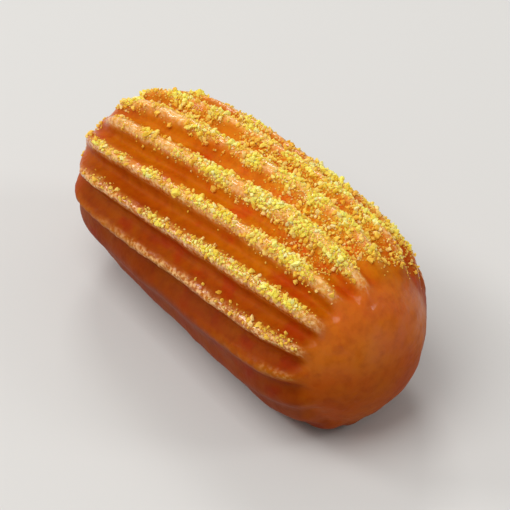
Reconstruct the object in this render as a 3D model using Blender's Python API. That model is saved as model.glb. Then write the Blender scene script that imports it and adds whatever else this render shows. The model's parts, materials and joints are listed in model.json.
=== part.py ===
"""Tulumba: one piped log of fried dough, soaked in syrup and dusted with ground pistachio.

Metres, +Z up. The log lies along X on its pressed underside, its fuller end at +X. The origin is
the middle of that underside, on the surface that the log rests on.

The dough starts as a UV sphere with its poles at the two tips, and each of its points is carried
to the surface of the ridged log. The functions below read a place on the log as (along, around):
along runs from -1 to 1 between the tips, and around is the angle about X, from +Y towards +Z.
The largest pistachio crumbs are fused to the dough by one Boolean union.
"""

import math
import random

import bmesh
import bpy
from mathutils import Euler, Vector

# The dough's outer size, over the ridges
LENGTH = 0.0600  # tip to tip
WIDTH = 0.0280  # halfway along
ROUND_HEIGHT = 0.0288  # of the whole round section halfway along, before it is pressed
PRESSED = 0.0014  # how far that round section would reach below the surface it rests on

# The outline from end to end
TAPER = 0.08  # how much fuller than the middle the +X end is, and slimmer the -X end
WAIST = 0.06  # how much fuller both ends are than the middle
FULLER_END_POWER = 3.1  # power of the superellipse that rounds the +X end
SLIMMER_END_POWER = 3.6  # power of the superellipse that rounds the -X end
BEND = 0.0014  # how far the tips stand aside from the middle, towards -Y
FULLEST = 0.4  # where along the log it is thickest, and where it lies straight over X

# The ridges that the star nozzle leaves
RIDGES = 17
GROOVE_DEPTH = 0.0019
TWIST = math.radians(-32)  # turn of the ridges from tip to tip
CREST_POWER = 1.1  # above 1 the crests are narrower than the grooves
UNEVEN_RIDGE = 0.00025  # how far one ridge stands above or below the next
UNEVEN_TURN = 2.4  # turn from one ridge to the next in the wave that sets their heights
UNEVEN_SPACING = math.radians(1.6)  # how far a ridge strays to one side
SPACING_WAVES = 5  # how often, round the log, the ridges crowd together
FULLER_RIDGE_END = 0.85  # where the ridges have half faded into the smooth +X end
SLIMMER_RIDGE_END = -0.88  # where they have half faded into the -X end
FULLER_RIDGE_FADE = 0.035  # half the stretch over which they fade at the +X end
SLIMMER_RIDGE_FADE = 0.12  # half the stretch over which they fade at the -X end
FAR_RIDGE_END = 0.74  # where the ridges of the +Y side have half faded
FAR_RIDGE_FADE = 0.12  # half the stretch over which they fade
FAR_SIDE = 0.10  # the share towards +Y of a place halfway onto that side
FAR_SIDE_FADE = 0.35  # half the change in that share over which the two sides pass
UNEVEN_END = 0.015  # how far a ridge's end strays to either side
END_WAVES = 7  # how often, round the log, the ridges' ends stray
SMOOTH_END_DEPTH = 0.55  # how deep the smooth ends lie, from the crests, 0, to the grooves, 1
TIP_THICKNESS = 0.5  # share of the full thickness below which that depth shrinks to the tip
PRESSED_GROOVE = 0.3  # share of the grooves' depth that is left where the log is pressed
PRESSED_REACH = math.radians(84)  # how far round from straight below the grooves are pressed
PRESSED_FADE = 0.16  # half the change in slope over which the pressing fades

# How finely the dough is divided
SIDES_A_RIDGE = 6
RINGS = 32
RING_SPREAD = 0.75  # below 1 the rings lie closer together towards the tips

# The largest pistachio crumbs
CRUMBS = 160
CRUMB_SIZE = (0.0011, 0.0019)
CRUMB_FLATNESS = (0.6, 0.95)  # the crumbs' other two sides, as shares of their size
CRUMB_ROUGHNESS = (0.8, 1.1)  # how far a corner lies from the middle, as a share of a sphere's
CRUMB_GAP = 0.0021  # least distance from one crumb's centre to the next
CRUMB_SUNK = 0.22  # how deep a crumb's centre lies in the dough, as a share of its size
DUSTED_ALONG = (-0.84, 0.80)  # the stretch of the log that the pistachio falls on
DUSTED_SLOPE = 0.35  # the least upward share of the surface's normal that holds a crumb
DUSTED_GROOVES = 0.3  # how well the grooves hold the pistachio, beside the crests
DUSTED_LEAST = 0.3  # how well the slimmer end's -Y side holds it, beside the fuller end's +Y side
DUSTED_SIDE = 0.3  # how much more the +Y side holds than the -Y side
CRUMB_SEED = 5


def fade(value, middle, half_width):
    """0 before the middle, 1 after it, and smooth over half_width to each side."""
    share = min(1.0, max(0.0, (value - middle) / (2 * half_width) + 0.5))
    return share * share * (3 - 2 * share)


def ridge_phase(along, around):
    """The angle within the ridges, a full turn from one crest to the next."""
    turned = around - TWIST * along / 2
    return RIDGES * (turned - UNEVEN_SPACING * math.sin(SPACING_WAVES * turned))


def ridge_depth(along, around):
    """How far the surface lies below the outline that goes over the crests."""
    phase = ridge_phase(along, around)
    crest = (0.5 + 0.5 * math.cos(phase)) ** CREST_POWER
    ridge = round(phase / math.tau) % RIDGES
    ridged = GROOVE_DEPTH * (1 - crest) - UNEVEN_RIDGE * math.sin(UNEVEN_TURN * ridge) * crest
    pressed = fade(-math.sin(around), math.cos(PRESSED_REACH), PRESSED_FADE)
    ridged *= 1 - (1 - PRESSED_GROOVE) * pressed
    far = fade(math.cos(around), FAR_SIDE, FAR_SIDE_FADE)
    strayed = UNEVEN_END * math.sin(END_WAVES * around) * (1 - far)
    smooth = fade(along + strayed, FULLER_RIDGE_END, FULLER_RIDGE_FADE)
    smooth += fade(strayed - along, -SLIMMER_RIDGE_END, SLIMMER_RIDGE_FADE)
    smooth += (1 - smooth) * far * fade(along, FAR_RIDGE_END, FAR_RIDGE_FADE)
    return ridged * (1 - smooth) + SMOOTH_END_DEPTH * GROOVE_DEPTH * smooth


def fullness(along):
    """The log's thickness at a place along it, as a share of its thickness halfway."""
    power = FULLER_END_POWER if along > 0 else SLIMMER_END_POWER
    rounding = max(0.0, 1 - abs(along) ** power) ** (1 / power)
    return rounding * (1 + TAPER * along + WAIST * along * along)


def dough_point(along, around):
    """The point of the dough's surface at a place on the log."""
    full = fullness(along)
    depth = ridge_depth(along, around) * min(1.0, full / TIP_THICKNESS)
    x = LENGTH / 2 * along
    y = (WIDTH / 2 * full - depth) * math.cos(around) + BEND * (FULLEST**2 - along**2)
    z = (ROUND_HEIGHT / 2 * full - depth) * math.sin(around) + ROUND_HEIGHT / 2 - PRESSED
    return Vector((x, y, max(0.0, z)))


def dough_normal(along, around):
    """The outward normal of the dough's surface at a place on the log."""
    step = 0.004
    forward = dough_point(along + step, around) - dough_point(along - step, around)
    sideways = dough_point(along, around + step) - dough_point(along, around - step)
    return sideways.cross(forward).normalized()


def make_material(name, colour, roughness):
    material = bpy.data.materials.new(name)
    material.use_nodes = True
    shader = material.node_tree.nodes["Principled BSDF"]
    shader.inputs["Base Color"].default_value = (*colour, 1.0)
    shader.inputs["Roughness"].default_value = roughness
    shader.inputs["Metallic"].default_value = 0.0
    return material


def make_dough(collection, material):
    """The ridged log, from a sphere with its poles at the two tips."""
    shape = bmesh.new()
    bmesh.ops.create_uvsphere(
        shape, u_segments=RIDGES * SIDES_A_RIDGE, v_segments=RINGS, radius=1.0
    )
    for vertex in shape.verts:
        pole = max(-1.0, min(1.0, vertex.co.z))
        along = math.copysign(abs(pole) ** RING_SPREAD, pole)
        around = math.atan2(vertex.co.y, vertex.co.x) + TWIST * along / 2
        vertex.co = dough_point(along, around)
    bmesh.ops.triangulate(shape, faces=shape.faces)
    bmesh.ops.recalc_face_normals(shape, faces=shape.faces)
    mesh = bpy.data.meshes.new("tulumba")
    shape.to_mesh(mesh)
    shape.free()
    mesh.shade_smooth()
    mesh.materials.append(material)
    dough = bpy.data.objects.new("tulumba", mesh)
    collection.objects.link(dough)
    return dough


def holds_pistachio(along, around):
    """How well a place holds the pistachio that falls on it, from 0 to 1."""
    slope = dough_normal(along, around).z
    if slope < DUSTED_SLOPE:
        return 0.0
    crest = 0.5 + 0.5 * math.cos(ridge_phase(along, around))
    fuller_end = 0.5 + 0.5 * along
    side = 0.5 + 0.5 * math.cos(around)
    place = DUSTED_LEAST + DUSTED_SIDE * side + (1 - DUSTED_LEAST - DUSTED_SIDE) * fuller_end
    return place * (DUSTED_GROOVES + (1 - DUSTED_GROOVES) * crest)


def crumb_places(draw):
    """Where the crumbs lie: never too close together, and most where the pistachio stays."""
    places = []
    while len(places) < CRUMBS:
        along = draw.uniform(*DUSTED_ALONG)
        around = draw.uniform(0.0, math.pi)
        stays = draw.random() < holds_pistachio(along, around)
        point = dough_point(along, around)
        crowded = any((point - other).length < CRUMB_GAP for other, _ in places)
        if stays and not crowded:
            places.append((point, dough_normal(along, around)))
    return places


def make_crumb(name, point, normal, draw, collection, material):
    """One angular crumb of ground pistachio, part of it sunk in the dough."""
    size = draw.uniform(*CRUMB_SIZE)
    stretch = Vector((1.0, draw.uniform(*CRUMB_FLATNESS), draw.uniform(*CRUMB_FLATNESS)))
    shape = bmesh.new()
    bmesh.ops.create_icosphere(shape, subdivisions=1, radius=size / 2)
    for vertex in shape.verts:
        vertex.co = vertex.co * draw.uniform(*CRUMB_ROUGHNESS) * stretch
    mesh = bpy.data.meshes.new(name)
    shape.to_mesh(mesh)
    shape.free()
    mesh.materials.append(material)
    crumb = bpy.data.objects.new(name, mesh)
    crumb.location = point - normal * size * CRUMB_SUNK
    crumb.rotation_euler = Euler([draw.uniform(0, math.tau) for _ in range(3)])
    collection.objects.link(crumb)


def fuse(dough, crumbs):
    """Joins the crumbs to the dough by one Boolean union, and removes them."""
    union = dough.modifiers.new("fused_crumbs", "BOOLEAN")
    union.operation = "UNION"
    union.operand_type = "COLLECTION"
    union.collection = crumbs
    union.solver = "EXACT"
    union.material_mode = "TRANSFER"
    depsgraph = bpy.context.evaluated_depsgraph_get()
    fused = bpy.data.meshes.new_from_object(dough.evaluated_get(depsgraph))
    dough.modifiers.remove(union)
    dough.data = fused
    for crumb in list(crumbs.objects):
        bpy.data.objects.remove(crumb)
    bpy.data.collections.remove(crumbs)


def new_collection(name):
    collection = bpy.data.collections.new(name)
    bpy.context.scene.collection.children.link(collection)
    return collection


def main():
    for old in list(bpy.data.objects):
        bpy.data.objects.remove(old)
    dough_material = make_material("syrup_soaked_dough", (0.70, 0.17, 0.012), 0.3)
    pistachio_material = make_material("ground_pistachio", (0.93, 0.62, 0.06), 0.7)
    dough = make_dough(new_collection("tulumba"), dough_material)
    crumbs = new_collection("crumbs")
    draw = random.Random(CRUMB_SEED)
    for index, (point, normal) in enumerate(crumb_places(draw)):
        make_crumb(f"crumb_{index}", point, normal, draw, crumbs, pistachio_material)
    fuse(dough, crumbs)


main()
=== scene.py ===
"""The looks of a tulumba: a piped log of fried dough, soaked in syrup, under ground pistachio.

The frame gives the log's box. A place on the log is read as (along, around): along runs from -1
to 1 between the tips, and around is the angle about X, from +Y towards +Z.
"""

import json
import math

import bmesh
import bpy
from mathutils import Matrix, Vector, noise

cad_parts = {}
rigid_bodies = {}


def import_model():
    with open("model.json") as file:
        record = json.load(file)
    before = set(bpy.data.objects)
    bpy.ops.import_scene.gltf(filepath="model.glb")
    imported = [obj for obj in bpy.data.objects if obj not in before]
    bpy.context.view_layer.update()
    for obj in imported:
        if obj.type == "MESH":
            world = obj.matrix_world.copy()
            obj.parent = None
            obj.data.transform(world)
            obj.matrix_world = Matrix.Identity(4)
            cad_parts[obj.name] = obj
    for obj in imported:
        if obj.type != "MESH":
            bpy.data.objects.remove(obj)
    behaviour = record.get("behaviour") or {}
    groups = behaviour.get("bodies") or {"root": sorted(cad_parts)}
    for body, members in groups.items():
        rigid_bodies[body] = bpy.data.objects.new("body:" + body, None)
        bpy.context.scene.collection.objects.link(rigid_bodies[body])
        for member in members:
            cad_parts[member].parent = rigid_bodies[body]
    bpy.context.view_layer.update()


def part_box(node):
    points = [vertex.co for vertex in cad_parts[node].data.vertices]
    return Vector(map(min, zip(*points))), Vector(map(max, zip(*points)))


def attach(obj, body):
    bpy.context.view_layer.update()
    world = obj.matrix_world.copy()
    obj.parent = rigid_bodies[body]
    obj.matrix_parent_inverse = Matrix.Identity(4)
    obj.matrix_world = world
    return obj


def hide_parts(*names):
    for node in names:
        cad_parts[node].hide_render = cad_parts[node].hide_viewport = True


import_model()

# The log, from the frame's box and the proportions that the solid is made to
LOW, HIGH = (Vector(corner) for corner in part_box("tulumba"))
TAPER = 0.08  # how much fuller than the middle the +X end is
WAIST = 0.06  # how much fuller both ends are than the middle
FULLER_END_POWER = 3.1  # powers of the superellipses that round the two ends
SLIMMER_END_POWER = 3.6
FULLEST = 0.4  # where along the log it is thickest
TALLER = 1.03  # the round section's height over its width


def fullness(along):
    """The log's thickness at a place along it, as a share of its thickness halfway."""
    power = FULLER_END_POWER if along > 0 else SLIMMER_END_POWER
    rounding = max(0.0, 1 - abs(along) ** power) ** (1 / power)
    return rounding * (1 + TAPER * along + WAIST * along * along)


HALF_LENGTH = (HIGH.x - LOW.x) / 2
HALF_WIDTH = (HIGH.y - LOW.y) / 2 / fullness(FULLEST)
HALF_HEIGHT = HALF_WIDTH * TALLER
PRESSED = 0.05 * (HIGH.z - LOW.z)  # how far its round section would reach below the ground
AXIS_HEIGHT = HALF_HEIGHT - PRESSED
BEND = 0.05 * (HIGH.y - LOW.y)  # how far the tips stand aside from the middle, towards -Y

# The ridges
RIDGES = 17
SIDES_A_RIDGE = 6
GROOVE_DEPTH = 0.0019
TWIST = math.radians(-32)  # turn of the ridges from tip to tip
CREST_POWER = 1.1  # above 1 the crests are narrower than the grooves
FULLER_RIDGE_END = 0.85  # where the ridges have half faded into the smooth ends
SLIMMER_RIDGE_END = -0.88
FULLER_RIDGE_FADE = 0.042  # half the stretch over which they fade
SLIMMER_RIDGE_FADE = 0.12
FAR_RIDGE_END = 0.74  # where the ridges of the +Y side have half faded
FAR_RIDGE_FADE = 0.12
FAR_SIDE = 0.10  # the share towards +Y of a place halfway onto that side
FAR_SIDE_FADE = 0.35
UNEVEN_END = 0.015  # how far along the log a ridge's end strays
END_WAVES = 7  # how often, round the log, the ridges' ends stray
SMOOTH_END_DEPTH = 0.55  # how deep the smooth ends lie, from the crests, 0, to the grooves, 1
TIP_THICKNESS = 0.5  # share of the full thickness below which the depths shrink to the tip
PRESSED_GROOVE = 0.3  # share of the grooves' depth that is left where the log is pressed
PRESSED_REACH = math.radians(84)  # how far round from straight below the grooves are pressed
PRESSED_FADE = 0.16  # half the change in slope over which the pressing fades
LIP_REACH = 0.004  # how much dough round a ridge's end moves with it
BEFORE_TIP = 0.93  # where the levelling of the +Y side has half faded, before the tip
BEFORE_TIP_FADE = 0.03
SUBDIVISION_GAIN = 1.25  # how much deeper the grooves are piped, because subdivision softens them
STEPS = 54  # from tip to tip, shorter towards the tips
LAST_STEP = 26  # the ring next to each tip, counted from the middle


def fade(value, middle, half_width):
    """0 before the middle, 1 after it, and smooth over half_width to each side."""
    share = min(1.0, max(0.0, (value - middle) / (2 * half_width) + 0.5))
    return share * share * (3 - 2 * share)


def far_side(around):
    """0 on the -Y side and 1 on the +Y side."""
    return fade(math.cos(around), FAR_SIDE, FAR_SIDE_FADE)


def strayed_end(around):
    """How far along the log a ridge there ends short of its fellows."""
    return UNEVEN_END * math.sin(END_WAVES * around) * (1 - far_side(around))


def smoothness(along, strayed=0.0):
    """0 where the log is ridged, and 1 at its smooth ends."""
    fuller = fade(along + strayed, FULLER_RIDGE_END, FULLER_RIDGE_FADE)
    return fuller + fade(strayed - along, -SLIMMER_RIDGE_END, SLIMMER_RIDGE_FADE)


def pressed(around):
    """0 on the upper flanks and 1 where the log is pressed, towards the underside."""
    return fade(-math.sin(around), math.cos(PRESSED_REACH), PRESSED_FADE)


def levelling(along, around):
    """How far the ridges are levelled where they fade out early, on the +Y side."""
    before_tip = 1 - fade(along, BEFORE_TIP, BEFORE_TIP_FADE)
    return before_tip * far_side(around) * fade(along, FAR_RIDGE_END, FAR_RIDGE_FADE)


def ring_centre(along):
    aside = BEND * (FULLEST**2 - along**2)
    return Vector((HALF_LENGTH * along, aside, AXIS_HEIGHT))


def ring_radius(along, side, grooved):
    """How far from the axis a ring's point lies, by its steps from the nearest crest. Grooved is
    1 for the ridged log and 0 for the plain outline that goes over its crests."""
    crest = (0.5 + 0.5 * math.cos(math.tau * side / SIDES_A_RIDGE)) ** CREST_POWER
    ridged = 0.5 + (0.5 - crest) * SUBDIVISION_GAIN
    smooth = smoothness(along)
    depth = grooved * GROOVE_DEPTH * (ridged * (1 - smooth) + SMOOTH_END_DEPTH * smooth)
    full = fullness(along)
    return HALF_WIDTH * full - depth * min(1.0, full / TIP_THICKNESS)


def select(test):
    """In edit mode, selects the points that pass a test, and nothing else."""
    mesh = bmesh.from_edit_mesh(bpy.context.object.data)
    for vertex in mesh.verts:
        vertex.select = test(vertex.co)
    mesh.select_flush_mode()
    bmesh.update_edit_mesh(bpy.context.object.data)


def size_ring(along, grooved, radius_before):
    """Scales the newest ring to its outline, one step from the crests at a time."""
    centre = ring_centre(along)
    for side in range(SIDES_A_RIDGE // 2 + 1):

        def on_side(point):
            if abs(point.x - centre.x) > 1e-6:
                return False
            around = math.atan2(point.z - centre.z, point.y - centre.y) - TWIST * along / 2
            place = round(around / math.tau * RIDGES * SIDES_A_RIDGE) % SIDES_A_RIDGE
            return min(place, SIDES_A_RIDGE - place) == side

        select(on_side)
        grow = ring_radius(along, side, grooved) / radius_before(side)
        bpy.ops.transform.resize(value=(1, grow, grow), center_override=centre)
    select(lambda point: abs(point.x - centre.x) < 1e-6)


def pipe_log(name, grooved):
    """The log as a coarse cage, piped ring by ring from the -X tip."""
    places = [math.sin(math.pi * step / STEPS) for step in range(-LAST_STEP, LAST_STEP + 1)]
    first = places[0]
    bpy.ops.object.select_all(action="DESELECT")
    bpy.ops.mesh.primitive_circle_add(
        vertices=RIDGES * SIDES_A_RIDGE,
        radius=HALF_WIDTH,
        location=ring_centre(first),
        rotation=(0, math.pi / 2, 0),
    )
    log = bpy.context.object
    log.name = name
    bpy.ops.object.transform_apply()
    bpy.ops.object.mode_set(mode="EDIT")
    bpy.ops.mesh.select_mode(type="VERT")
    bpy.ops.mesh.select_all(action="SELECT")
    bpy.ops.transform.rotate(
        value=-TWIST * first / 2, orient_axis="X", center_override=ring_centre(first)
    )
    size_ring(first, grooved, lambda side: HALF_WIDTH)
    for was, along in zip(places, places[1:]):
        centre = ring_centre(along)
        bpy.ops.mesh.extrude_region_move(
            TRANSFORM_OT_translate={"value": centre - ring_centre(was)}
        )
        bpy.ops.transform.rotate(
            value=-TWIST * (along - was) / 2, orient_axis="X", center_override=centre
        )
        size_ring(along, grooved, lambda side: ring_radius(was, side, grooved))
    close_tip(first, -1)
    close_tip(along, 1)
    if grooved:
        stray_ends()
    bpy.ops.mesh.select_all(action="SELECT")
    bpy.ops.mesh.normals_make_consistent(inside=False)
    bpy.ops.transform.resize(value=(1, 1, TALLER), center_override=(0, 0, AXIS_HEIGHT))
    put_in_order()
    bpy.ops.object.mode_set(mode="OBJECT")
    apply_modifier("SUBSURF", "smoothed", levels=2, render_levels=2)
    bpy.ops.object.mode_set(mode="EDIT")
    put_in_order()
    bpy.ops.object.mode_set(mode="OBJECT")
    return log


def put_in_order():
    """Orders the cage along a slanting line, so that every run gives the same mesh."""
    line = Vector((1, 0.37, 0.61))
    mesh = bmesh.from_edit_mesh(bpy.context.object.data)
    mesh.verts.sort(key=lambda vertex: vertex.co.dot(line))
    mesh.edges.sort(key=lambda edge: (edge.verts[0].co + edge.verts[1].co).dot(line))
    mesh.faces.sort(key=lambda face: face.calc_center_median().dot(line))
    bmesh.update_edit_mesh(bpy.context.object.data)


def close_tip(last, tip):
    """Closes the last ring with a fan of faces, drawn out to the tip."""
    rim = ring_centre(last)
    select(lambda point: abs(point.x - rim.x) < 1e-6)
    bpy.ops.mesh.edge_face_add()
    bpy.ops.mesh.poke()
    select(lambda point: (point - rim).length < HALF_WIDTH / 20)
    bpy.ops.transform.translate(value=ring_centre(tip) - rim)


def stray_ends():
    """Draws the end of each ridge a little in or out, and the dough round it along with it."""
    for end, tip in ((FULLER_RIDGE_END, 1), (SLIMMER_RIDGE_END, -1)):
        for ridge in range(RIDGES):
            around = math.tau * ridge / RIDGES + TWIST * end / 2
            radius = ring_radius(end, 0, 1)
            outwards = Vector((0, math.cos(around), math.sin(around)))
            crest = ring_centre(end) + outwards * radius
            select(lambda point: (point - crest).length < LIP_REACH / 4)
            bpy.ops.transform.translate(
                value=(-tip * strayed_end(around) * HALF_LENGTH, 0, 0),
                use_proportional_edit=True,
                proportional_edit_falloff="SMOOTH",
                proportional_size=LIP_REACH,
            )


def apply_modifier(kind, name, **settings):
    """Gives the active object a modifier, sets it up and applies it."""
    modifier = bpy.context.object.modifiers.new(name, kind)
    for setting, value in settings.items():
        setattr(modifier, setting, value)
    bpy.ops.object.modifier_apply(modifier=name)


def place_on_log(point):
    """Reads a point of the log as (along, around, crest), crest from 0, grooves, to 1, crests."""
    along = max(-0.999, min(0.999, point.x / HALF_LENGTH))
    centre = ring_centre(along)
    across = point.y - centre.y
    up = (point.z - centre.z) / TALLER
    around = math.atan2(up, across)
    depth = HALF_WIDTH * fullness(along) - math.hypot(across, up)
    return along, around, max(0.0, min(1.0, 1 - depth / GROOVE_DEPTH))


def paint_group(piece, name, weigh):
    """A vertex group with the weight that weigh gives each point."""
    group = piece.vertex_groups.new(name=name)
    for vertex in piece.data.vertices:
        group.add([vertex.index], weigh(vertex), "REPLACE")


def paint_attribute(piece, name, weigh):
    """A surface attribute with the value that weigh gives each point."""
    attribute = piece.data.attributes.new(name, "FLOAT", "POINT")
    attribute.data.foreach_set("value", [weigh(vertex) for vertex in piece.data.vertices])


def smooth_weight(vertex):
    """1 at the smooth ends."""
    along, around, _ = place_on_log(vertex.co)
    return smoothness(along, strayed_end(around))


def crest_weight(vertex):
    """1 along the crests, which fried ragged, and 0 wherever the ridges are smoothed away."""
    along, around, crest = place_on_log(vertex.co)
    levelled = far_side(around) * fade(along, FAR_RIDGE_END, FAR_RIDGE_FADE)
    ridged = (1 - smooth_weight(vertex)) * (1 - levelled) * (1 - pressed(around))
    return fade(crest, 0.65, 0.30) * ridged


# The paler bands along the ridges, leaning down the flanks as a painted light on the lower slopes
LIT_BAND_LEAN = 0.22  # how far the bands lean down the flanks
PRESSED_BAND = 0.7  # how far the bands fade where the log is pressed


def downhill(vertex):
    """How far the dough there faces down the log's flank, rather than straight out, -1 to 1."""
    _, around, _ = place_on_log(vertex.co)
    flank = max(-1.0, min(1.0, -3 * math.cos(around)))
    return flank * (vertex.normal.z * math.cos(around) - vertex.normal.y * math.sin(around))


def crust_and_shading_weight(vertex):
    """0 in the grooves and 1 in the paler bands of crust, which lie a little below the crests'
    middle as a painted light on the lower slopes.
    """
    _, around, crest = place_on_log(vertex.co)
    band = max(0.0, min(1.0, crest + LIT_BAND_LEAN * downhill(vertex)))
    return band * (1 - PRESSED_BAND * pressed(around))


def height_weight(vertex):
    """0 at the axis's height and 1 at the top."""
    return (vertex.co.z - AXIS_HEIGHT) / HALF_HEIGHT


def broken_and_glint_weight(vertex):
    """How broken and pale the crust is, with painted glints: along the paler bands of the upper
    ridges.
    """
    _, around, _ = place_on_log(vertex.co)
    high = fade(math.sin(around), 0.10, 0.12)
    return high * fade(crust_and_shading_weight(vertex), 0.72, 0.22) * (1 - smooth_weight(vertex))


def pressed_weight(vertex):
    """The share of the ridges' relief that is pressed out towards the underside."""
    _, around, _ = place_on_log(vertex.co)
    return (1 - PRESSED_GROOVE) * pressed(around) * (1 - smooth_weight(vertex))


def levelled_weight(vertex):
    """The share of the ridges' relief that is levelled near the fuller end of the +Y side."""
    along, around, _ = place_on_log(vertex.co)
    return levelling(along, around)


def draw_towards(piece, outline, name, weigh, depth):
    """Draws points towards a depth below the outline, by the share that weigh gives."""
    paint_group(piece, name, weigh)
    apply_modifier(
        "SHRINKWRAP",
        name,
        target=outline,
        wrap_mode="ABOVE_SURFACE",
        offset=-depth,
        vertex_group=name,
    )


# The unevenness of the fried dough: name, size of its lumps, how far they reach, whether they
# push sideways too, and the vertex group that they keep to
UNEVENNESS = (
    ("wobble", 0.012, 0.0006, True, ""),
    ("lumps", 0.0040, 0.0002, False, ""),
    ("ragged", 0.0009, 0.00045, False, "crests"),
    ("pores", 0.0007, 0.00006, False, ""),
)


def make_dough():
    """The piped and fried log: ridges, smooth ends, ragged crests and a pressed underside."""
    outline = pipe_log("outline", 0)
    log = pipe_log("dough", 1)
    paint_group(log, "crests", crest_weight)
    draw_towards(log, outline, "pressed", pressed_weight, 0)
    draw_towards(log, outline, "levelled", levelled_weight, SMOOTH_END_DEPTH * GROOVE_DEPTH)
    bpy.data.objects.remove(outline)
    for name, size, reach, sideways, group in UNEVENNESS:
        cloud = bpy.data.textures.new(name, "CLOUDS")
        cloud.noise_scale = size
        cloud.cloud_type = "COLOR" if sideways else "GRAYSCALE"
        apply_modifier(
            "DISPLACE",
            name,
            texture=cloud,
            texture_coords="LOCAL",
            strength=reach,
            mid_level=0.5,
            direction="RGB_TO_XYZ" if sideways else "NORMAL",
            vertex_group=group,
        )
    bpy.ops.object.mode_set(mode="EDIT")
    select(lambda point: point.z < 0)
    bpy.ops.transform.resize(value=(1, 1, 0), center_override=(0, 0, 0))
    bpy.ops.object.mode_set(mode="OBJECT")
    bpy.ops.object.shade_smooth()
    return log


# Where the ground pistachio stays
CLUMP_SIZE = 0.003
CLUMPING = 1.40  # how strongly it gathers in clumps
DRIFT = 0.65  # how much of what falls on the +Y side stays in the grooves too
BARE_FROM = 0.78  # where the ends have half shed it
SLIMMER_BARE_FROM = 0.93
BARE_FADE = 0.06


def dusted_weight(vertex):
    """How well a place holds the pistachio that falls on it, from 0 to 1."""
    along, around, crest = place_on_log(vertex.co)
    # Only what is level enough, and on the upper flanks, holds any
    level = fade(vertex.normal.z, 0.20, 0.26)
    high = fade(math.sin(around), 0.40, 0.14)
    # It drifts over the +Y side, wider towards the fuller end, and elsewhere keeps to the ridges
    spread = math.cos(around) + 0.35 * fade(along, 0.30, 0.20)
    drift = DRIFT * fade(spread, 0.06, 0.25) * fade(-along, -0.68, 0.12)
    ridge = fade(crest + 0.20 * downhill(vertex), 0.50, 0.30)
    held = drift + (1 - drift) * ridge
    # It lies in clumps, thicker towards the fuller end, and the ends are bare
    thick = 0.48 + 0.54 * fade(along, -0.10, 0.60)
    clump = thick + CLUMPING * noise.noise(vertex.co / CLUMP_SIZE)
    bare_end = fade(along, BARE_FROM, BARE_FADE) + fade(-along, SLIMMER_BARE_FROM, BARE_FADE)
    return level * high * held * max(0.0, min(1.0, clump)) * (1 - min(1.0, bare_end))


def new_node(tree, kind, **settings):
    node = tree.nodes.new(kind)
    for name, value in settings.items():
        setattr(node, name, value)
    return node


GRAIN_SHAPES = 8
SMALLER_GRAINS = 1.8  # above 1 there are more small grains than large ones


def make_grains(label, add_shape, roughness):
    """A handful of unlike broken grains, one metre across, in a collection of their own."""
    shapes = bpy.data.collections.new(label)
    bpy.context.scene.collection.children.link(shapes)
    for index in range(GRAIN_SHAPES):
        bpy.ops.object.select_all(action="DESELECT")
        add_shape()
        grain = bpy.context.object
        grain.name = f"{label}_{index}"
        bpy.ops.object.mode_set(mode="EDIT")
        bpy.ops.mesh.select_all(action="SELECT")
        bpy.ops.transform.vertex_random(offset=roughness, uniform=1.0, normal=0.0, seed=index)
        flatness = (1, 0.70 + 0.12 * (index % 3), 0.50 + 0.12 * (index % 4))
        bpy.ops.transform.resize(value=flatness)
        bpy.ops.object.mode_set(mode="OBJECT")
        for old in grain.users_collection:
            old.objects.unlink(grain)
        shapes.objects.link(grain)
    return shapes


def add_crumb():
    bpy.ops.mesh.primitive_ico_sphere_add(subdivisions=1, radius=0.5)


def add_speck():
    bpy.ops.mesh.primitive_uv_sphere_add(segments=4, ring_count=2, radius=0.5)


def random_value(tree, kind, seed):
    value = new_node(tree, "FunctionNodeRandomValue", data_type=kind)
    value.inputs["Seed"].default_value = seed
    return value


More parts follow.
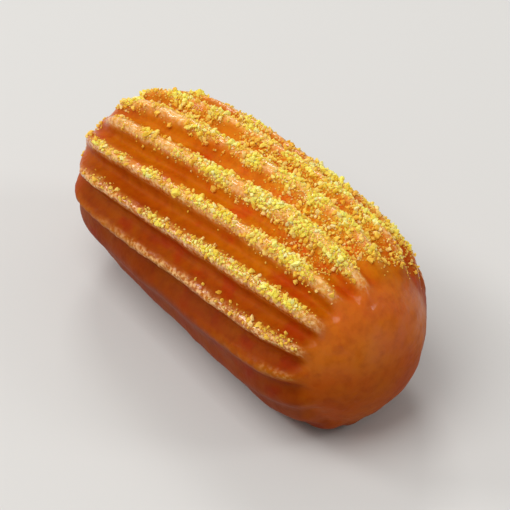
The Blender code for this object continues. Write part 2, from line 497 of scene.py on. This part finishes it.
def scatter(name, dough, shapes, apart, sizes, held, seed):
    """Grains stuck over the dusted part of the dough, joined into one mesh by Geometry Nodes."""
    tree = bpy.data.node_groups.new(name, "GeometryNodeTree")
    tree.interface.new_socket("Geometry", in_out="OUTPUT", socket_type="NodeSocketGeometry")
    link = tree.links.new
    source = new_node(tree, "GeometryNodeObjectInfo")
    source.inputs["Object"].default_value = dough
    dusted = new_node(tree, "GeometryNodeInputNamedAttribute", data_type="FLOAT")
    dusted.inputs["Name"].default_value = "dusted"
    kept = new_node(tree, "ShaderNodeMath", operation="POWER")
    kept.inputs[1].default_value = held
    link(dusted.outputs["Attribute"], kept.inputs[0])
    points = new_node(tree, "GeometryNodeDistributePointsOnFaces", distribute_method="POISSON")
    points.inputs["Distance Min"].default_value = apart
    points.inputs["Density Max"].default_value = 4 / apart**2
    points.inputs["Seed"].default_value = seed
    link(source.outputs["Geometry"], points.inputs["Mesh"])
    link(kept.outputs["Value"], points.inputs["Density Factor"])
    raised = new_node(tree, "GeometryNodeSetPosition")
    lifted = new_node(tree, "ShaderNodeVectorMath", operation="SCALE")
    lifted.inputs["Scale"].default_value = sizes[0] / 6
    link(points.outputs["Normal"], lifted.inputs[0])
    link(points.outputs["Points"], raised.inputs["Geometry"])
    link(lifted.outputs["Vector"], raised.inputs["Offset"])
    kinds = new_node(tree, "GeometryNodeCollectionInfo")
    kinds.inputs["Collection"].default_value = shapes
    kinds.inputs["Separate Children"].default_value = True
    kinds.inputs["Reset Children"].default_value = True
    turn = random_value(tree, "FLOAT_VECTOR", seed + 1)
    turn.inputs["Max"].default_value = (math.tau, math.tau, math.tau)
    skewed = new_node(tree, "ShaderNodeMath", operation="POWER")
    skewed.inputs[1].default_value = SMALLER_GRAINS
    spread = new_node(tree, "ShaderNodeMapRange")
    spread.inputs["To Min"].default_value = sizes[0]
    spread.inputs["To Max"].default_value = sizes[1]
    copies = new_node(tree, "GeometryNodeInstanceOnPoints")
    copies.inputs["Pick Instance"].default_value = True
    link(raised.outputs["Geometry"], copies.inputs["Points"])
    link(kinds.outputs["Instances"], copies.inputs["Instance"])
    link(turn.outputs[0], copies.inputs["Rotation"])
    link(random_value(tree, "FLOAT", seed + 2).outputs[1], skewed.inputs[0])
    link(skewed.outputs["Value"], spread.inputs["Value"])
    link(spread.outputs["Result"], copies.inputs["Scale"])
    stored = new_node(
        tree, "GeometryNodeStoreNamedAttribute", data_type="FLOAT", domain="INSTANCE"
    )
    stored.inputs["Name"].default_value = "shade"
    real = new_node(tree, "GeometryNodeRealizeInstances")
    output = new_node(tree, "NodeGroupOutput")
    link(copies.outputs["Instances"], stored.inputs["Geometry"])
    link(random_value(tree, "FLOAT", seed + 3).outputs[1], stored.inputs["Value"])
    link(stored.outputs["Geometry"], real.inputs["Geometry"])
    link(real.outputs["Geometry"], output.inputs["Geometry"])
    bpy.ops.object.select_all(action="DESELECT")
    bpy.ops.mesh.primitive_plane_add()
    piece = bpy.context.object
    piece.name = name
    apply_modifier("NODES", "scattered", node_group=tree)
    bpy.ops.object.shade_flat()
    return piece


def new_material(name):
    material = bpy.data.materials.new(name)
    material.use_nodes = True
    return material, material.node_tree, material.node_tree.nodes["Principled BSDF"]


def noise_on(tree, size, detail):
    """Noise fixed to the piece, with lumps of about this size in metres."""
    where = new_node(tree, "ShaderNodeTexCoord")
    texture = new_node(tree, "ShaderNodeTexNoise")
    texture.inputs["Scale"].default_value = 1 / size
    texture.inputs["Detail"].default_value = detail
    tree.links.new(where.outputs["Object"], texture.inputs["Vector"])
    return texture.outputs["Fac"]


def painted(tree, name):
    return new_node(tree, "ShaderNodeAttribute", attribute_name=name).outputs["Fac"]


def ramp(tree, source, stops):
    """Colours that follow a value, from (value, colour) stops."""
    colours = new_node(tree, "ShaderNodeValToRGB")
    while len(colours.color_ramp.elements) < len(stops):
        colours.color_ramp.elements.new(0.5)
    for element, (position, colour) in zip(colours.color_ramp.elements, stops):
        element.position = position
        element.color = (*colour, 1.0)
    tree.links.new(source, colours.inputs["Fac"])
    return colours.outputs["Color"]


def share(tree, source, low, high):
    """0 where the source is below low, and 1 above high."""
    scale = new_node(tree, "ShaderNodeMapRange")
    scale.inputs["From Min"].default_value = low
    scale.inputs["From Max"].default_value = high
    tree.links.new(source, scale.inputs["Value"])
    return scale.outputs["Result"]


def times(tree, first, second):
    product = new_node(tree, "ShaderNodeMath", operation="MULTIPLY")
    tree.links.new(first, product.inputs[0])
    if isinstance(second, float):
        product.inputs[1].default_value = second
    else:
        tree.links.new(second, product.inputs[1])
    return product.outputs["Value"]


def blend(tree, factor, under, over, mode="MIX"):
    """Lays one colour over another, by a factor."""
    mixer = new_node(tree, "ShaderNodeMix", data_type="RGBA", blend_type=mode)
    sockets = {socket.identifier: socket for socket in (*mixer.inputs, *mixer.outputs)}
    tree.links.new(factor, sockets["Factor_Float"])
    for socket, colour in ((sockets["A_Color"], under), (sockets["B_Color"], over)):
        if isinstance(colour, tuple):
            socket.default_value = (*colour, 1.0)
        else:
            tree.links.new(colour, socket)
    return sockets["Result_Color"]


def tint(tree, factor, colour, filter_colour):
    """The colour as seen through a filter, by a factor."""
    return blend(tree, factor, colour, filter_colour, "MULTIPLY")


def bump(tree, height, distance, strength, under=None):
    relief = new_node(tree, "ShaderNodeBump")
    relief.inputs["Distance"].default_value = distance
    relief.inputs["Strength"].default_value = strength
    tree.links.new(height, relief.inputs["Height"])
    if under:
        tree.links.new(under, relief.inputs["Normal"])
    return relief.outputs["Normal"]


def dough_material():
    """Deep-fried dough soaked in syrup: amber, with paler broken crust along the ridges, partly
    painted glints, and darker grooves, partly a painted shade. Red patches in the grooves are
    painted as light glowing through the syrup, the flanks and ends are darker and browner low down
    as a painted shade, and it is wet where the syrup lies."""
    material, tree, shader = new_material("syrup_soaked_dough")
    # The grooves are darker, partly from the syrup and partly a painted shade, and the paler bands
    # lean down the flanks as a painted light
    ridged = ramp(
        tree,
        painted(tree, "crust_and_shading"),
        (
            (0.0, (0.72, 0.215, 0.002)),
            (0.40, (0.66, 0.185, 0.003)),
            (0.68, (0.82, 0.290, 0.018)),
            (0.95, (0.98, 0.500, 0.100)),
        ),
    )
    # Red patches in the grooves: a painted glow of light through the syrup
    ruddy = share(tree, noise_on(tree, 0.0045, 2), 0.54, 0.66)
    ruddy = times(tree, ruddy, share(tree, painted(tree, "crust_and_shading"), 0.70, 0.20))
    ridged = blend(tree, times(tree, ruddy, 0.7), ridged, (0.70, 0.085, 0.006))
    # Painted shade: darker and browner lower on the flanks and on the smooth ends, by height
    flank = share(tree, painted(tree, "height"), 0.92, 0.45)
    ridged = tint(tree, flank, ridged, (0.62, 0.40, 0.09))
    lower_flank_shade = share(tree, painted(tree, "height"), 0.50, -0.20)
    ridged = tint(tree, lower_flank_shade, ridged, (0.60, 0.52, 0.08))
    lower_end_shade = share(tree, painted(tree, "height"), 0.80, -0.20)
    smooth = tint(tree, lower_end_shade, (0.76, 0.200, 0.014), (0.52, 0.40, 0.16))
    colour = blend(tree, painted(tree, "smooth"), ridged, smooth)
    blotches = share(tree, noise_on(tree, 0.006, 4), 0.38, 0.66)
    colour = tint(tree, blotches, colour, (0.92, 0.68, 0.50))
    specks = share(tree, noise_on(tree, 0.0013, 4), 0.45, 0.70)
    colour = tint(tree, specks, colour, (0.84, 0.74, 0.60))
    # Pale specks on the upper crests: broken crust and painted glints
    pale = share(tree, noise_on(tree, 0.0005, 2), 0.42, 0.62)
    pale = times(tree, times(tree, pale, painted(tree, "broken_and_glint")), 0.85)
    colour = blend(tree, pale, colour, (1.0, 0.60, 0.25))
    powder = share(tree, noise_on(tree, 0.00045, 3), 0.42, 0.58)
    powder = times(tree, powder, painted(tree, "dusted"))
    colour = blend(tree, times(tree, powder, 0.8), colour, (0.80, 0.45, 0.035))
    tree.links.new(colour, shader.inputs["Base Color"])
    syrup = share(tree, noise_on(tree, 0.003, 3), 0.30, 0.60)
    exposed = share(tree, painted(tree, "crust_and_shading"), 0.40, 0.85)
    exposed = blend(tree, painted(tree, "smooth"), exposed, (0.6, 0.6, 0.6))
    syrup = times(tree, syrup, exposed)
    syrup = times(tree, syrup, share(tree, painted(tree, "height"), 0.0, 0.5))
    tree.links.new(syrup, shader.inputs["Coat Weight"])
    dull = share(tree, syrup, 1.0, 0.0)
    tree.links.new(times(tree, dull, 0.5), shader.inputs["Roughness"])
    skin = bump(tree, noise_on(tree, 0.0024, 3), 0.0003, 0.35)
    skin = bump(tree, noise_on(tree, 0.0006, 3), 0.0001, 0.4, skin)
    broken_and_glint = times(tree, noise_on(tree, 0.0009, 4), painted(tree, "broken_and_glint"))
    skin = bump(tree, broken_and_glint, 0.0006, 0.6, skin)
    tree.links.new(skin, shader.inputs["Normal"])
    shader.inputs["Specular IOR Level"].default_value = 0.10
    shader.inputs["Specular Tint"].default_value = (1.0, 0.60, 0.30, 1.0)
    shader.inputs["Subsurface Weight"].default_value = 0.20
    shader.inputs["Subsurface Radius"].default_value = (1.0, 0.30, 0.08)
    shader.inputs["Subsurface Scale"].default_value = 0.0012
    shader.inputs["Coat Roughness"].default_value = 0.12
    return material


def pistachio_material():
    """Ground pistachio: each grain its own yellow, mottled, with a broken surface. Where little of
    it lies it has taken up syrup, and is more golden."""
    material, tree, shader = new_material("ground_pistachio")
    grain = ramp(
        tree,
        painted(tree, "shade"),
        (
            (0.0, (0.88, 0.62, 0.035)),
            (0.3, (0.98, 0.83, 0.100)),
            (0.7, (0.99, 0.91, 0.190)),
            (1.0, (0.99, 0.94, 0.48)),
        ),
    )
    soaked = share(tree, painted(tree, "dusted"), 1.00, 0.45)
    colour = tint(tree, soaked, grain, (0.98, 0.70, 0.55))
    mottle = share(tree, noise_on(tree, 0.0003, 2), 0.40, 0.62)
    colour = tint(tree, mottle, colour, (0.94, 0.88, 0.70))
    tree.links.new(colour, shader.inputs["Base Color"])
    tree.links.new(bump(tree, noise_on(tree, 0.0002, 2), 0.00005, 0.6), shader.inputs["Normal"])
    shader.inputs["Roughness"].default_value = 0.6
    shader.inputs["Subsurface Weight"].default_value = 0.5
    shader.inputs["Subsurface Radius"].default_value = (1.0, 0.85, 0.35)
    shader.inputs["Subsurface Scale"].default_value = 0.0004
    return material


def give(piece, material):
    """Gives a piece its material and its slot, and makes it ride on the one body."""
    piece.data.materials.clear()
    piece.data.materials.append(material)
    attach(piece, "root")


dough = make_dough()
# The crust bands carry painted light and shade as well as the crust's own colour, and the broken
# crust carries painted glints
paint_attribute(dough, "crust_and_shading", crust_and_shading_weight)
paint_attribute(dough, "smooth", smooth_weight)
paint_attribute(dough, "broken_and_glint", broken_and_glint_weight)
paint_attribute(dough, "dusted", dusted_weight)
paint_attribute(dough, "height", height_weight)
give(dough, dough_material())
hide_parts("tulumba")

# The ground pistachio, from the coarsest to the finest: name, shapes, least distance from one
# grain to the next, sizes, how strongly it keeps to the most dusted places, and seed
crumbs = make_grains("crumb_shape", add_crumb, 0.17)
specks = make_grains("speck_shape", add_speck, 0.12)
PISTACHIO = (
    ("pistachio_crumbs", crumbs, 0.0018, (0.0009, 0.0014), 3.0, 3),
    ("pistachio_grains", crumbs, 0.00050, (0.00055, 0.00110), 1.0, 11),
    ("pistachio_dust", specks, 0.00028, (0.00022, 0.00050), 0.8, 23),
)
pistachio = pistachio_material()
for name, shapes, apart, sizes, held, seed in PISTACHIO:
    give(scatter(name, dough, shapes, apart, sizes, held, seed), pistachio)
for shape in (*crumbs.objects, *specks.objects):
    bpy.data.objects.remove(shape)

# Stage, light and camera
VIEW_AZIMUTH = math.radians(53.7)
VIEW_ELEVATION = math.radians(38.5)
VIEW_DISTANCE = 0.70
VIEW_WIDTH = 0.068  # across the picture, at the middle of the log
FLOOR_SIZE = 3
FLOOR_GAP = 0.00002  # below the pressed underside, so that the two surfaces don't coincide
middle = Vector((0, 0, HALF_HEIGHT * 0.86))


def towards(azimuth, elevation):
    return Vector((
        math.sin(azimuth) * math.cos(elevation),
        -math.cos(azimuth) * math.cos(elevation),
        math.sin(elevation),
    ))


def aim(thing, azimuth, elevation, distance):
    """Places a lamp or the camera round the log and points it there."""
    away = towards(azimuth, elevation)
    thing.location = middle + away * distance
    thing.rotation_euler = (-away).to_track_quat("-Z", "Y").to_euler()


bpy.ops.object.select_all(action="DESELECT")
bpy.ops.mesh.primitive_plane_add(size=FLOOR_SIZE, location=(0, 0, -FLOOR_GAP))
floor = bpy.context.object
floor.name = "floor"
bpy.ops.object.transform_apply()
pale, _, pale_shader = new_material("pale_floor")
pale_shader.inputs["Base Color"].default_value = (0.66, 0.65, 0.63, 1)
pale_shader.inputs["Roughness"].default_value = 0.8
floor.data.materials.append(pale)

# name, side, power, azimuth from the camera's, elevation, distance
LAMPS = (
    ("ceiling", 0.60, 3.6, -54, 66, 0.8),
    ("window", 0.20, 1.2, 185, 40, 0.7),
    ("left", 0.20, 1.3, -108, 34, 0.8),
    ("right", 0.20, 0.8, 80, 34, 0.8),
)
for name, side, power, aside, elevation, distance in LAMPS:
    light = bpy.data.lights.new(name, "AREA")
    light.size = side
    light.energy = power
    lamp = bpy.data.objects.new(name, light)
    bpy.context.scene.collection.objects.link(lamp)
    aim(lamp, VIEW_AZIMUTH + math.radians(aside), math.radians(elevation), distance)
world = bpy.data.worlds.new("room")
bpy.context.scene.world = world
world.use_nodes = True
world.node_tree.nodes["Background"].inputs["Color"].default_value = (1.0, 0.98, 0.95, 1)
world.node_tree.nodes["Background"].inputs["Strength"].default_value = 0.36

camera_data = bpy.data.cameras.new("camera")
camera = bpy.data.objects.new("camera", camera_data)
bpy.context.scene.collection.objects.link(camera)
aim(camera, VIEW_AZIMUTH, VIEW_ELEVATION, VIEW_DISTANCE)
camera_data.angle = 2 * math.atan(VIEW_WIDTH / 2 / VIEW_DISTANCE)
bpy.context.scene.camera = camera
bpy.context.scene.view_settings.view_transform = "Standard"
